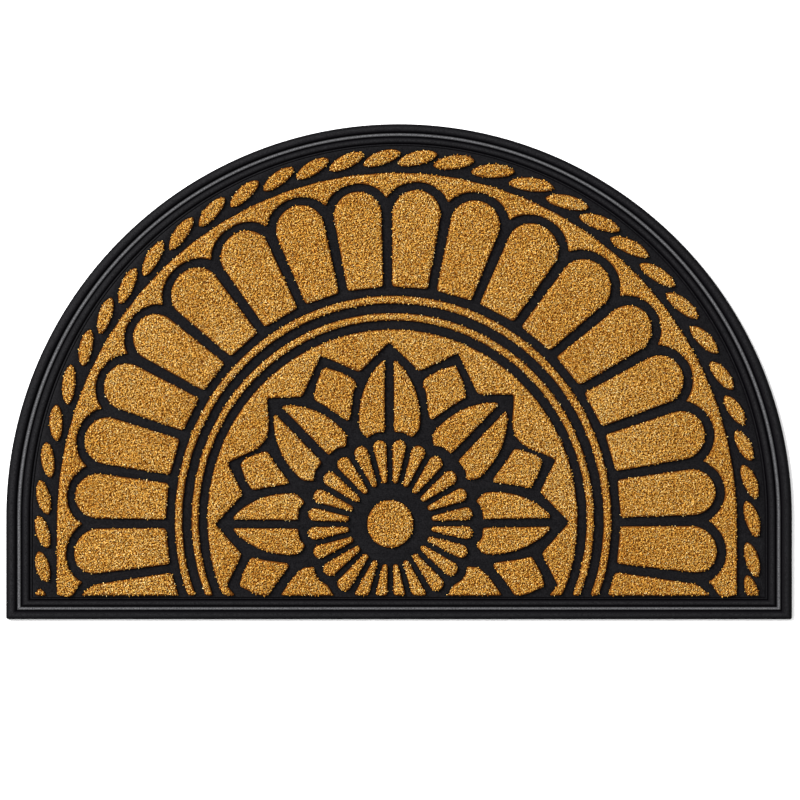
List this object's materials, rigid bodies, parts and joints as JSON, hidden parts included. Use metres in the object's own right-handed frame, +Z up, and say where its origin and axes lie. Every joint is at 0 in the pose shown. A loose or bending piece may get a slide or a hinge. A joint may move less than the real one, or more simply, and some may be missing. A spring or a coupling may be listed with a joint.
{
  "type": "half-round doormat",
  "caption": "Half-round rubber doormat with a beaded rim and a raised lattice that frames fields of short straw-coloured pile in a rosette, arcade and rope pattern.",
  "frame": {"origin": "on the floor, under the middle of the mat's bounding box", "axes": "+X along the straight side, +Y from the straight side towards the round one, +Z up out of the pile"},
  "size_m": [0.81, 0.5106, 0.0078],
  "materials": {
    "black_rubber": "moulded black rubber, satin, worn a little lighter on one narrow bead of the rim",
    "straw_pile": "short stiff pile, straw brown, speckled light and dark from fibre to fibre"
  },
  "bodies": {
    "root": {"rubber_moulding": "black_rubber", "pile_carpet": "straw_pile"}
  },
  "joints": []
}
